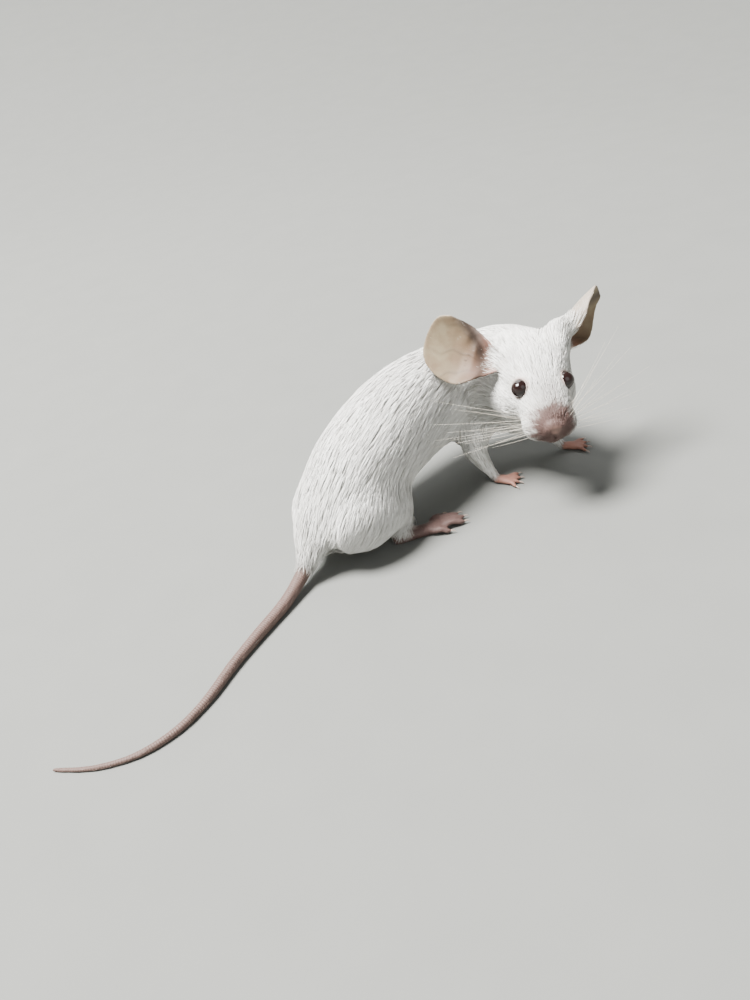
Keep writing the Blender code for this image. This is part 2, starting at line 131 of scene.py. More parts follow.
def view_axes(azimuth, elevation, tip):
    """The right, up and backward axes of a view."""
    a, e, t = (math.radians(angle) for angle in (azimuth, elevation, tip))
    back = Vector((math.sin(a) * math.cos(e), -math.cos(a) * math.cos(e), math.sin(e)))
    right = Vector((0, 0, 1)).cross(back).normalized()
    up = back.cross(right)
    return right * math.cos(t) + up * math.sin(t), up * math.cos(t) - right * math.sin(t), back


camera = bpy.data.objects.new("camera", bpy.data.cameras.new("camera"))
bpy.context.scene.collection.objects.link(camera)
camera.data.lens = VIEW_LENS
camera.data.sensor_width = SENSOR_WIDTH
camera.data.clip_start = 0.01
right, up, back = view_axes(VIEW_AZIMUTH, VIEW_ELEVATION, VIEW_TIP)
camera.matrix_world = (Matrix.Translation(aim + back * VIEW_DISTANCE * MM)
                       @ Matrix((right, up, back)).transposed().to_4x4())
bpy.context.scene.camera = camera
print("camera at", [round(value, 3) for value in camera.matrix_world.translation], "m")


# %% Lamps
def only(thing):
    """Leave one object selected and active."""
    bpy.ops.object.select_all(action="DESELECT")
    thing.select_set(True)
    bpy.context.view_layer.objects.active = thing


def lamp(name, azimuth, elevation, distance, size, power, colour=(1.0, 1.0, 1.0)):
    """A round area lamp that faces the animal. Distance and size are in metres."""
    light = bpy.data.lights.new(name, "AREA")
    light.shape = "DISK"
    light.size = size
    light.energy = power
    light.color = colour
    thing = bpy.data.objects.new(name, light)
    bpy.context.scene.collection.objects.link(thing)
    across, above, away = view_axes(azimuth, elevation, 0.0)
    facing_aim = Matrix((across, above, away)).transposed().to_4x4()
    thing.matrix_world = Matrix.Translation(aim + away * distance) @ facing_aim


lamp("key", azimuth=-112.0, elevation=66.0, distance=1.6, size=0.70, power=185.0, colour=(1.0, 0.985, 0.96))
lamp("fill", azimuth=10.0, elevation=38.0, distance=1.6, size=1.3, power=6.0, colour=(0.96, 0.98, 1.0))
lamp("rim", azimuth=165.0, elevation=50.0, distance=1.6, size=0.95, power=12.0)
world = bpy.data.worlds.new("studio")
bpy.context.scene.world = world
world.use_nodes = True
sky = world.node_tree.nodes["Background"].inputs
sky["Color"].default_value = (0.80, 0.82, 0.80, 1.0)
sky["Strength"].default_value = 0.22
print(len(bpy.data.lights), "lamps of", [round(light.energy) for light in bpy.data.lights], "W")

# %% Floor
FLOOR_START = 0.02  # radius of the first ring, in metres
FLOOR_RINGS = 40
RING_GROWTH = 1.12  # how much larger each ring is than the one before
FLOOR_FLAT = 0.5  # metres from the middle at which the floor starts to rise
FLOOR_RISE = 0.4  # its height is this times the square of the distance beyond
bpy.ops.object.select_all(action="DESELECT")
bpy.ops.mesh.primitive_circle_add(vertices=96, radius=FLOOR_START, fill_type="NGON")
floor = bpy.context.object
floor.name = "floor"
bpy.ops.object.mode_set(mode="EDIT")
for ring in range(FLOOR_RINGS):
    bpy.ops.mesh.extrude_region_move()
    bpy.ops.transform.resize(value=(RING_GROWTH, RING_GROWTH, 1.0), center_override=(0.0, 0.0, 0.0))
bpy.ops.mesh.delete(type="ONLY_FACE")  # the last face would close the floor off like a lid
bpy.ops.object.mode_set(mode="OBJECT")
for vertex in floor.data.vertices:
    reach_out = math.hypot(vertex.co.x, vertex.co.y)
    vertex.co.z = FLOOR_RISE * max(0.0, reach_out - FLOOR_FLAT) ** 2
bpy.ops.object.shade_smooth()
print("the floor reaches", round(max(vertex.co.x for vertex in floor.data.vertices), 2), "m out")

# %% [markdown]
# ## Finishes
# Every finish is worked out by nodes. Writing shader maths node by node is hard to read, so a small class
# wraps a socket: adding, subtracting or multiplying two of them adds the Math nodes. Any other node comes
# from one method, which takes the node's type, its settings and what feeds its sockets.


# %% A socket that can be calculated with
class Signal:
    """One number, colour or vector on its way through a finish."""

    def __init__(self, finish, socket):
        self.finish = finish
        self.socket = socket

    def math(self, operation, first, second=0.0):
        return self.finish.node("ShaderNodeMath", {"operation": operation}, {0: first, 1: second})

    def __add__(self, other):
        return self.math("ADD", self, other)

    def __radd__(self, other):
        return self.math("ADD", other, self)

    def __sub__(self, other):
        return self.math("SUBTRACT", self, other)

    def __rsub__(self, other):
        return self.math("SUBTRACT", other, self)

    def __mul__(self, other):
        return self.math("MULTIPLY", self, other)

    def __rmul__(self, other):
        return self.math("MULTIPLY", other, self)

    def limited(self):
        return self.finish.node("ShaderNodeClamp", {}, {"Value": self})


class Finish:
    """A material in the making, around one Principled shader."""

    def __init__(self, name):
        self.material = bpy.data.materials.new(name)
        self.material.use_nodes = True
        self.tree = self.material.node_tree
        self.shader = self.tree.nodes["Principled BSDF"]

    def feed(self, socket, value):
        if isinstance(value, Signal):
            self.tree.links.new(value.socket, socket)
        else:
            socket.default_value = value

    def node(self, kind, settings, sockets, output=0):
        made = self.tree.nodes.new(kind)
        for name, value in settings.items():
            setattr(made, name, value)
        for name, value in sockets.items():
            self.feed(made.inputs[name], value)
        return Signal(self, made.outputs[output])

    def mark(self, name):
        return self.node("ShaderNodeAttribute", {"attribute_name": name}, {}, "Fac")

    def noise(self, scale, detail=2.0):
        place = self.node("ShaderNodeTexCoord", {}, {}, "Object")
        return self.node("ShaderNodeTexNoise", {}, {"Vector": place, "Scale": scale, "Detail": detail})

    def between(self, share, first, second):
        """A colour that goes from the first to the second as the share goes from 0 to 1."""
        colours = [colour if isinstance(colour, Signal) else (*colour, 1.0) for colour in (first, second)]
        return self.node("ShaderNodeMix", {"data_type": "RGBA"}, {0: share, 6: colours[0], 7: colours[1]}, 2)

    def bump(self, height, depth, strength):
        sockets = {"Height": height, "Distance": depth * MM, "Strength": strength}
        return self.node("ShaderNodeBump", {}, sockets)

    def shade(self, **sockets):
        for name, value in sockets.items():
            self.feed(self.shader.inputs[name.replace("_", " ")], value)
        return self.material


# %% Finish of the floor
FLOOR_DULL = (0.150, 0.154, 0.145)
FLOOR_PALE = (0.168, 0.172, 0.162)


def floor_finish():
    plain = Finish("pale_floor")
    grain = plain.noise(60.0, 3.0)
    return plain.shade(Base_Color=plain.between(grain, FLOOR_DULL, FLOOR_PALE), Roughness=0.85)


floor.data.materials.append(floor_finish())

# %% [markdown]
# ## One skin over all the flesh
# A living animal has no seams. So the solids of flesh are copied, merged into closed shells and swollen a
# little, until they overlap across their gaps. A voxel remesh then draws one closed surface round them all.
# It is smoothed, and drawn in again by the same amount and by the depth of the coat, so that the tips of the
# tufts come out where the solids end. A skin could also be sculpted, but a remesh finds the outermost surface
# by itself, whatever lies inside, and gives the same result each time.

# %% Which solid is which kind of flesh
# For each kind: how far the copy is swollen and how deep the coat is there, both in millimetres, and how
# often the skin is smoothed. The three BLEND values say over how many steps of the mesh each table blends.
KINDS = ("trunk", "neck", "head", "nose", "ear", "hind_leg", "fore_leg", "hind_foot", "fore_paw", "tail")
SWELL = dict(trunk=0.35, neck=0.35, head=0.35, nose=0.3, ear=0.15, hind_leg=0.35, fore_leg=0.3,
             hind_foot=0.1, fore_paw=0.1, tail=0.25)
COAT_DEPTH = dict(trunk=1.15, neck=1.0, head=0.6, nose=0.0, ear=0.0, hind_leg=0.85, fore_leg=0.5,
                  hind_foot=0.06, fore_paw=0.05, tail=0.04)
SMOOTHING = dict(trunk=60, neck=40, head=14, nose=6, ear=5, hind_leg=40, fore_leg=20, hind_foot=3, fore_paw=3,
                 tail=8)
SWELL_BLEND = 6
DEPTH_BLEND = 14
SMOOTHING_BLEND = 10
SKIN_CELL = 0.36  # edge of the cells that the surface is drawn from
MERGE_DISTANCE = 0.01  # corners of a solid nearer than this are one


def kind_of(node):
    return next(number for number, kind in enumerate(KINDS) if node.startswith(kind))


flesh = [node for node in sorted(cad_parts) if not node.startswith("eye")]
print(len(flesh), "solids of flesh")


# %% Read and write vertices as arrays
def places(mesh):
    flat = np.empty(len(mesh.vertices) * 3)
    mesh.vertices.foreach_get("co", flat)
    return flat.reshape(-1, 3)


def facing(mesh):
    flat = np.empty(len(mesh.vertices) * 3, np.float32)
    mesh.vertex_normals.foreach_get("vector", flat)
    return flat.reshape(-1, 3).astype(float)


def put(mesh, points):
    mesh.vertices.foreach_set("co", points.astype(np.float32).ravel())
    mesh.update()


def edges_of(mesh):
    flat = np.empty(len(mesh.edges) * 2, np.int32)
    mesh.edges.foreach_get("vertices", flat)
    return flat.reshape(-1, 2)


def spread(values, edges, rounds, pull=0.6):
    """Let each vertex's values drift towards the mean of its neighbours'."""
    count = len(values)
    values = values.reshape(count, -1)
    heads = np.concatenate((edges[:, 0], edges[:, 1]))
    tails = np.concatenate((edges[:, 1], edges[:, 0]))
    degree = np.maximum(np.bincount(heads, minlength=count), 1)[:, None]
    pull = np.broadcast_to(np.asarray(pull, float).reshape(-1, 1), (count, 1))
    for step in range(rounds):
        sums = [np.bincount(heads, values[tails, column], count) for column in range(values.shape[1])]
        values = values + (np.stack(sums, 1) / degree - values) * pull
    return values


# %% Copy, merge, swell and join the solids
copies = []
for node in flesh:
    copy = bpy.data.objects.new("copy_" + node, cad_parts[node].data.copy())
    bpy.context.scene.collection.objects.link(copy)
    copy.data.materials.clear()
    layer = copy.data.attributes.new("kind", "INT", "POINT")
    layer.data.foreach_set("value", np.full(len(copy.data.vertices), kind_of(node), np.int32))
    copies.append(copy)
bpy.ops.object.select_all(action="DESELECT")
for copy in copies:
    copy.select_set(True)
bpy.context.view_layer.objects.active = copies[0]
bpy.ops.object.join()
skin = bpy.context.object
skin.name = "skin"
bpy.ops.object.mode_set(mode="EDIT")
bpy.ops.mesh.select_all(action="SELECT")
bpy.ops.mesh.remove_doubles(threshold=MERGE_DISTANCE * MM)
bpy.ops.object.mode_set(mode="OBJECT")

solid_points = places(skin.data)
solid_kinds = np.empty(len(solid_points), np.int32)
skin.data.attributes["kind"].data.foreach_get("value", solid_kinds)
swell = np.array([SWELL[kind] for kind in KINDS]) * MM
put(skin.data, solid_points + facing(skin.data) * swell[solid_kinds][:, None])
print("joined shell has", len(solid_points), "vertices")

# %% Remember which kind each place belongs to
nearby = KDTree(len(solid_points) + len(skin.data.polygons))
for number, point in enumerate(solid_points):
    nearby.insert(point, int(solid_kinds[number]))
for polygon in skin.data.polygons:
    nearby.insert(polygon.center, int(solid_kinds[polygon.vertices[0]]))
nearby.balance()

# %% Draw one surface round them
only(skin)
remesh = skin.modifiers.new("one_surface", "REMESH")
remesh.mode = "VOXEL"
remesh.voxel_size = SKIN_CELL * MM
bpy.ops.object.modifier_apply(modifier=remesh.name)
edges = edges_of(skin.data)
points = places(skin.data)
kinds = np.array([nearby.find(point)[1] for point in points])
print("skin has", len(points), "vertices")


# %% Smooth it, and draw it in below the coat
def by_kind(table):
    return np.array([table[kind] for kind in KINDS], float)[kinds]


rounds = spread(by_kind(SMOOTHING), edges, SMOOTHING_BLEND)[:, 0]
for step in range(max(SMOOTHING.values())):
    pull = 0.5 * np.clip(rounds - step, 0.0, 1.0)
    if pull.max() > 0:
        points = spread(points, edges, 1, pull)
put(skin.data, points)
depth = spread(by_kind(COAT_DEPTH), edges, DEPTH_BLEND)[:, 0]
drawn_in = spread(by_kind(SWELL), edges, SWELL_BLEND)[:, 0]
points = points - facing(skin.data) * ((depth + drawn_in) * MM)[:, None]
points[:, 2] = np.maximum(points[:, 2], 0.0)  # nothing goes below the floor
put(skin.data, points)
print("the coat is up to", round(depth.max(), 2), "mm deep")

# %% [markdown]
# ## The face
# The face is where a viewer looks first, and the trunk's skin hides under the coat. So the trunk's faces are
# thinned out, and round the eyes, the nose and the mouth the faces are split once more. Then the vertices are
# moved by simple rules in the head's axes: lids rise in a thin ring and close in on the eyeball, nostrils are
# pressed in, and grooves draw the mouth and the split of the upper lip.

# %% Coarser faces where the coat will hide them
def select_vertices(thing, chosen):
    """Leave these vertices selected, in edit mode."""
    only(thing)
    bpy.ops.object.mode_set(mode="EDIT")
    bpy.ops.mesh.select_mode(type="VERT")
    bpy.ops.mesh.select_all(action="DESELECT")
    bpy.ops.object.mode_set(mode="OBJECT")
    thing.data.vertices.foreach_set("select", chosen)
    bpy.ops.object.mode_set(mode="EDIT")


HIDDEN_SHARE_KEPT = 0.35
HEAD_LENGTH = 17.0  # skin further behind the nose is hidden by coat
HEAD_HALF_WIDTH = 13.0  # and so is skin further to the sides
here = in_head(points)
furred = np.isin(kinds, [KINDS.index(kind) for kind in ("trunk", "neck", "hind_leg", "fore_leg", "head")])
off_head = (here[:, 0] < -HEAD_LENGTH) | (np.abs(here[:, 1]) > HEAD_HALF_WIDTH)
select_vertices(skin, furred & off_head)
bpy.ops.mesh.decimate(ratio=HIDDEN_SHARE_KEPT)
bpy.ops.object.mode_set(mode="OBJECT")
points = places(skin.data)
print("thinned, the skin has", len(points), "vertices")

# %% Finer faces round the eyes and the muzzle
EYE_CENTRES = {side: np.array((EYE.x, side * EYE.y, EYE.z)) for side in (-1, 1)}
MUZZLE_LENGTH = 8.5  # skin nearer to the nose than this gets finer faces
LID_BELT = 1.4  # and so does skin this near to an eyeball
FACE_HALF_WIDTH = 9.0
here = in_head(points)
near_face = here[:, 0] > -MUZZLE_LENGTH
for centre in EYE_CENTRES.values():
    near_face |= np.linalg.norm(here - centre, axis=1) < EYE_RADIUS + LID_BELT
select_vertices(skin, near_face & (np.abs(here[:, 1]) < FACE_HALF_WIDTH))
bpy.ops.mesh.subdivide(number_cuts=1, smoothness=0.0)
bpy.ops.object.mode_set(mode="OBJECT")
points = places(skin.data)
edges = edges_of(skin.data)
kinds = np.array([nearby.find(point)[1] for point in points])
depth = spread(by_kind(COAT_DEPTH), edges, DEPTH_BLEND)[:, 0]
print("after the split the skin has", len(points), "vertices")


# %% Distances, and what fades with them
def hump(distance, width):
    """1 at no distance, fading smoothly to 0 within about two widths."""
    return np.exp(-(distance / width) ** 2)


def distance_to_line(at, line):
    """For each point: the distance to a line of straight stretches, how far along it the nearest place is,
    and which way the line runs there."""
    line = np.asarray(line, float)
    best = np.full(len(at), np.inf)
    along = np.zeros(len(at))
    way = np.zeros((len(at), 3))
    run = 0.0
    for first, last in zip(line, line[1:]):
        step = last - first
        length = np.linalg.norm(step)
        share = np.clip((at - first) @ step / length ** 2, 0.0, 1.0)
        gap = np.linalg.norm(at - first - share[:, None] * step, axis=1)
        closer = gap < best
        best[closer] = gap[closer]
        along[closer] = run + share[closer] * length
        way[closer] = step / length
        run += length
    return best, along, way


# %% Lids, nostrils, lips
LID_HEIGHT = 0.20
LID_CLOSENESS = 0.06  # the gap that is left between lid and eyeball
SOCKET_GAP = 1.0  # the skin this near an eyeball is drawn onto it
SOCKET_REACH = 1.9  # skin beyond this distance stays where it is
NOSTRIL = (0.0, 0.95, -0.15)
NOSTRIL_DEPTH = 0.55
NOSTRIL_WIDTH = 0.42
LIP_LINE = [(-0.4, 0.0, -1.7), (-1.4, 0.0, -3.0), (-3.2, 1.4, -4.6), (-6.4, 3.0, -5.4)]
LIP_GROOVE = 0.28
LIP_GROOVE_WIDTH = 0.26
LIP_SWELL = 0.16  # how far the lips bulge beside their groove
here = in_head(points)
outward = facing(skin.data) @ HEAD_AXES
move = np.zeros(len(points))
for side in (-1, 1):
    nostril = np.array(NOSTRIL) * (1.0, side, 1.0)
    move -= NOSTRIL_DEPTH * hump(np.linalg.norm((here - nostril) * (0.6, 1.0, 1.5), axis=1), NOSTRIL_WIDTH)
    gap = distance_to_line(here, [(x, side * y, z) for x, y, z in LIP_LINE])[0]
    move -= LIP_GROOVE * hump(gap, LIP_GROOVE_WIDTH)
    move += LIP_SWELL * hump(gap - 0.75, 0.5)
here = here + outward * move[:, None]
for side, centre in EYE_CENTRES.items():
    away = here - centre
    reach = np.linalg.norm(away, axis=1)
    rim = (reach < EYE_RADIUS + SOCKET_REACH) & (away @ np.array((0.3, side, 0.3)) > -1.2)
    beyond_gap = np.maximum(reach - EYE_RADIUS - SOCKET_GAP, 0.0) / (SOCKET_REACH - SOCKET_GAP)
    level = EYE_RADIUS + LID_CLOSENESS + (SOCKET_REACH - LID_CLOSENESS) * beyond_gap
    ring = hump(level - EYE_RADIUS - 0.25, 0.30)
    lifted = centre + away / reach[:, None] * level[:, None] + outward * (LID_HEIGHT * ring)[:, None]
    here[rim] = lifted[rim]
points = np.array(nose_tip) + here @ HEAD_AXES.T * MM
put(skin.data, points)
for polygon in skin.data.polygons:
    polygon.use_smooth = True
print("the face is pressed in by up to", round(-move.min(), 2), "mm")

# %% [markdown]
# ## Marks on the skin
# Colour and coat depend on where on the body a place is. Each mark is a number from 0 to 1 on the skin's
# vertices: how near the nose a place is, how much it belongs to an ear, a foot or the tail. They blend over a
# few tenths of a millimetre, because nothing on an animal has a hard border. The tail also gets its length in
# millimetres, for its rings. Marks could be painted by hand, but a rule says where each of them ends and can
# be changed by one number. Materials read the marks, and every tuft takes over those of its root.


# %% Helpers for marks
def smooth_step(low, high, value):
    """0 below the low value, 1 above the high one, and a soft ramp between them."""
    share = np.clip((value - low) / (high - low), 0.0, 1.0)
    return share * share * (3 - 2 * share)


def waves(at, size, count, seed):
    """Smooth noise from a few crossing waves, about -1 to 1."""
    source = np.random.default_rng(seed)
    sea = np.zeros(len(at))
    for number in range(count):
        direction = source.normal(size=3)
        direction /= np.linalg.norm(direction)
        sea += np.sin(at @ direction * 2 * math.pi / (size * source.uniform(0.6, 1.6))
                      + source.uniform(0, 2 * math.pi))
    return sea / math.sqrt(count)


def is_kind(*names):
    return np.isin(kinds, [KINDS.index(name) for name in names]).astype(float)


# %% Marks of the tail, the muzzle and the bridge of the nose
TAIL_ROUTE = [(-18.6, 2.4, 6.0), (-22.6, 0.2, 3.4), (-29.4, -4.6, 1.6), (-38.0, -10.2, 1.3),
              (-46.6, -16.2, 1.15), (-54.0, -22.2, 1.0), (-62.0, -26.6, 0.85), (-71.0, -28.0, 0.7),
              (-80.0, -25.6, 0.55), (-88.0, -20.4, 0.4)]
MUZZLE_MIDDLE = (-1.6, 0.0, 0.1)
MUZZLE_PATCH = (3.3, 7.0)  # the mauve patch is full within the first reach, gone at the last
PAD_MIDDLE = (-0.2, 0.0, 0.1)
PAD_PATCH = (1.0, 1.9)
BRIDGE_TINT = 0.28
drawn = (points - np.array(DRAWING.translation)) / MM
tail_run, tail_way = distance_to_line(drawn, TAIL_ROUTE)[1:]
normals = facing(skin.data)
ragged = waves(here, 2.6, 7, 21)
muzzle_reach = np.linalg.norm((here - MUZZLE_MIDDLE) * (0.8, 1.0, 1.0), axis=1) + 0.5 * ragged
pad_reach = np.linalg.norm((here - PAD_MIDDLE) * (1.0, 0.9, 1.2), axis=1)
bridge_tint = BRIDGE_TINT * hump(here[:, 1], 3.0) * smooth_step(-15.0, -6.0, here[:, 0])
bridge_tint *= smooth_step(0.0, 2.0, here[:, 2])
print("the tail is", round(tail_run.max()), "mm long")

# %% Marks of the ears
# Each ear is read in its own axes: the dish is the side that faces the opening, and veins fan out from the
# root. The right ear's front is folded over, so beyond the fold its back counts as inside too. A band beside
# each ear's fold, the right ear's valley and the left ear's slit, is marked for painted shade.
ROLL_AXIS = {-1: 7.0, 1: 4.5}  # how far before the leaf the axis runs round which it curls
VEIN_WIDTH = 0.20
is_ear = spread(is_kind("ear"), edges, 12)[:, 0]
inside, front_wall, fold_shade, rise, vein = (np.zeros(len(points)) for column in range(5))
for side in (-1, 1):
    own = (is_ear > 0) & (here[:, 1] * side > 0)
    axes = ear_axes(side)
    opening, forward, along = ((here[own] - np.array(EAR_ROOT[side])) @ axes.T).T
    to_axis = ROLL_AXIS[side] - opening
    inwards = normals[own] @ HEAD_AXES @ axes.T
    towards_axis = (inwards[:, 0] * to_axis - inwards[:, 1] * forward) / np.hypot(to_axis, forward)
    inside[own] = smooth_step(-0.15, 0.35, towards_axis)
    rise[own] = np.clip(along / EAR_LENGTH[side], 0.0, 1.0)
    angle = np.arctan2(forward, along)
    branches = np.abs(np.sin(7.5 * angle + 0.35 * np.sin(0.5 * along + side) + 0.2 * np.sin(1.3 * along)))
    vein[own] = hump(branches, VEIN_WIDTH) * smooth_step(3.0, 7.0, along)
    vein[own] *= 1.0 - 0.6 * smooth_step(11.0, 19.0, along)
    if side == -1:
        beyond = (forward - along + EAR_FOLD + 0.07 * (forward - 4.5) ** 2) / math.sqrt(2)
        front_wall[own] = smooth_step(0.0, 1.2, beyond)
        inside[own] = np.maximum(inside[own], front_wall[own])
        # painted shade: the valley just beyond the right ear's fold
        fold_shade[own] = hump(beyond - 1.0, 1.5)
    else:
        # painted shade: the left ear's dish near its slit
        fold_shade[own] = hump(forward - 1.0, 1.6) * inside[own]
print(int((is_ear > 0.5).sum()), "vertices belong to the ears")

# %% Put the marks on the skin
ear_border = spread(4 * inside * (1 - inside) * is_ear, edges, 16)[:, 0]
marks = {
    "muzzle": np.maximum(1.0 - smooth_step(*MUZZLE_PATCH, muzzle_reach), bridge_tint),
    "nose": 1.0 - smooth_step(*PAD_PATCH, pad_reach),
    "ear": is_ear,
    "ear_inside": inside * is_ear,
    "ear_front": front_wall * is_ear,
    "ear_shade": fold_shade * is_ear,
    "ear_rise": rise * is_ear,
    "ear_vein": vein * is_ear,
    "ear_rim": np.clip(3.0 * ear_border, 0.0, 1.0),
    "foot": spread(is_kind("hind_foot", "fore_paw"), edges, 8)[:, 0],
    "hand": spread(is_kind("fore_paw"), edges, 6)[:, 0],
    "tail": spread(is_kind("tail"), edges, 14)[:, 0],
    "tail_run": tail_run * is_kind("tail"),
    "lid": sum(hump(np.linalg.norm(here - centre, axis=1) - EYE_RADIUS - 0.15, 0.38)
               for centre in EYE_CENTRES.values()),
}


def mark(mesh, name, values):
    layer = mesh.attributes.new(name, "FLOAT", "POINT")
    layer.data.foreach_set("value", values.astype(np.float32))


for name, values in marks.items():
    mark(skin.data, name, values)
print("the skin carries", len(marks), "marks")

# %% [markdown]
# ## Unwrap the skin
# The export bakes colours, and the tufts need a place of their own in that picture. The skin is unwrapped by
# its own shape, and each tuft later becomes a tiny patch at its root's place on this unwrap.

# %% Unwrap
only(skin)
bpy.ops.object.mode_set(mode="EDIT")
bpy.ops.mesh.select_all(action="SELECT")
bpy.ops.uv.smart_project(angle_limit=1.2, island_margin=0.002)
bpy.ops.object.mode_set(mode="OBJECT")
skin.data.uv_layers[0].name = "OFBake"
print("unwrapped", len(skin.data.polygons), "faces")

# %% [markdown]
# ## The lie of the coat
# Hair points away from the nose, over the brow and the cheeks, along the back towards the tail and down the
# legs. Each kind of flesh names its own direction, the field is smoothed so that the streams join, and what
# remains is laid flat on the skin.

# %% Directions for each kind, then one smooth field
SPINE = [(41.6, -17.2, 23.2), (48.0, 0.0, 26.0), (50.0, 10.0, 27.0), (45.0, 18.0, 25.6), (37.6, 20.6, 24.0),
         (19.0, 17.2, 22.8), (-2.0, 9.2, 17.8), (-18.0, 3.0, 7.8), (-24.0, -1.0, 3.0)]
FACE_SOURCE = (5.0, 0.0, -0.5)  # before the nose: the face's hair points away from here
LIMB_LIE = {"hind_leg": (-0.45, -0.1, -0.6), "fore_leg": (0.1, -0.35, -0.9),
            "hind_foot": (0.9, 0.0, -0.2), "fore_paw": (0.8, -0.5, -0.2)}
LIE_BLEND = 60
lie = distance_to_line(drawn, SPINE)[2]
lie[:, 2] -= 0.30  # the flanks' hair hangs a little
from_nose = (here - FACE_SOURCE) @ HEAD_AXES.T
own = is_kind("head", "nose", "neck") > 0
lie[own] = from_nose[own] / np.linalg.norm(from_nose[own], axis=1)[:, None]
own = is_kind("tail") > 0
lie[own] = tail_way[own]
for kind, way in LIMB_LIE.items():
    lie[is_kind(kind) > 0] = way
for side in (-1, 1):
    own = (is_kind("ear") > 0) & (here[:, 1] * side > 0)
    lie[own] = HEAD_AXES @ np.array(EAR_AIM[side][0])


def laid_flat(field):
    field = field - normals * np.sum(field * normals, axis=1)[:, None]
    return field / np.maximum(np.linalg.norm(field, axis=1), 1e-9)[:, None]


lie = laid_flat(spread(laid_flat(lie), edges, LIE_BLEND))
print("the coat lies along", len(lie), "directions")


# %% [markdown]
# ## The skin's finish
# Under the coat the skin is a pale pink. It turns mauve brown round the nose, tan and veined on the ears,
# pink on the hands and mauve on the ringed tail. Beside each ear's fold the colour is darkened as painted
# shade.
# The marks choose the colour, and noise breaks it up. Fine grain and the tail's rings are bumps.

# %% Skin finish
COAT_WHITE = (0.83, 0.82, 0.79)
UNDER_COAT = (0.78, 0.74, 0.69)
MUZZLE_MAUVE = (0.112, 0.062, 0.052)
NOSE_PINK = (0.168, 0.095, 0.076)
EAR_OLIVE = (0.235, 0.186, 0.112)
EAR_PEACH = (0.100, 0.053, 0.027)
EAR_TAN = (0.165, 0.100, 0.052)
EAR_EDGE = (0.105, 0.077, 0.048)
EAR_LILAC = (0.085, 0.058, 0.045)
EAR_BACK = (0.30, 0.25, 0.20)
EAR_ROOT_PINK = (0.266, 0.126, 0.091)
# dark brown of the veins and of the skin's mottling, also used as painted shade in the ears' folds
DARK_VEIN_MOTTLE_AND_SHADE = (0.040, 0.026, 0.018)
FOOT_MAUVE = (0.112, 0.064, 0.057)
HAND_PINK = (0.30, 0.14, 0.105)
TAIL_MAUVE = (0.112, 0.067, 0.056)
LID_MAUVE = (0.30, 0.20, 0.18)
RING_WAVE = 11.0  # radians of the wave of rings, per millimetre of tail


def skin_finish():
    bare = Finish("mouse_skin")
    blotch = bare.noise(330.0, 3.0)
    grain = bare.noise(5200.0, 3.0)
    colour = bare.between(bare.mark("muzzle"), UNDER_COAT, MUZZLE_MAUVE)
    colour = bare.between(bare.mark("nose"), colour, NOSE_PINK)
    dish = bare.between(((bare.mark("ear_rise") - 0.40) * 2.6).limited(), EAR_PEACH, EAR_OLIVE)
    dish = bare.between(((blotch - 0.38) * 3.5).limited() * 0.6, dish, EAR_TAN)
    dish = bare.between(bare.mark("ear_vein") * 0.36, dish, DARK_VEIN_MOTTLE_AND_SHADE)
    dish = bare.between(bare.mark("ear_rim") * 0.6, dish, EAR_EDGE)
    dish = bare.between(bare.mark("ear_front"), dish, EAR_LILAC)
    dish = bare.between(((0.42 - bare.mark("ear_rise")) * 4.0).limited(), dish, EAR_ROOT_PINK)
    # painted shade: the band beside each ear's fold goes dark
    dish = bare.between(bare.mark("ear_shade") * 0.8, dish, DARK_VEIN_MOTTLE_AND_SHADE)
    ear_tone = bare.between(bare.mark("ear_inside"), EAR_BACK, dish)
    colour = bare.between(bare.mark("ear"), colour, ear_tone)
    foot_tone = bare.between(bare.mark("hand"), FOOT_MAUVE, HAND_PINK)
    colour = bare.between(bare.mark("foot"), colour, foot_tone)
    colour = bare.between(bare.mark("tail"), colour, TAIL_MAUVE)
    colour = bare.between((bare.mark("lid") * 0.8).limited(), colour, LID_MAUVE)
    colour = bare.between(((blotch - 0.5) * 0.5 + 0.05).limited(), colour, DARK_VEIN_MOTTLE_AND_SHADE)
    rings = bare.node("ShaderNodeMath", {"operation": "SINE"}, {0: bare.mark("tail_run") * RING_WAVE})
    bumps = bare.bump(grain * 0.5 + rings * bare.mark("tail") * 0.6 + bare.mark("ear_vein") * 0.5, 0.10, 0.7)
    rough = 0.62 - bare.mark("nose") * 0.2 + (grain - 0.5) * 0.1
    return bare.shade(Base_Color=colour, Roughness=rough, Normal=bumps)


skin.data.materials.clear()
skin.data.materials.append(skin_finish())
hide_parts(*flesh)
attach(skin, "root")

# %% [markdown]
# ## Eyes
# A mouse's eye is a round, wet, very dark bead. The solid is a coarse ball, so a finer ball of the same size
# takes its place. Its front is drawn out a little for the cornea.


# %% Eyeballs
def eye_finish():
    wet = Finish("wet_eye")
    depths = wet.noise(700.0, 2.0)
    return wet.shade(Base_Color=wet.between(depths, (0.006, 0.003, 0.003), (0.016, 0.007, 0.006)),
                     Roughness=0.09)


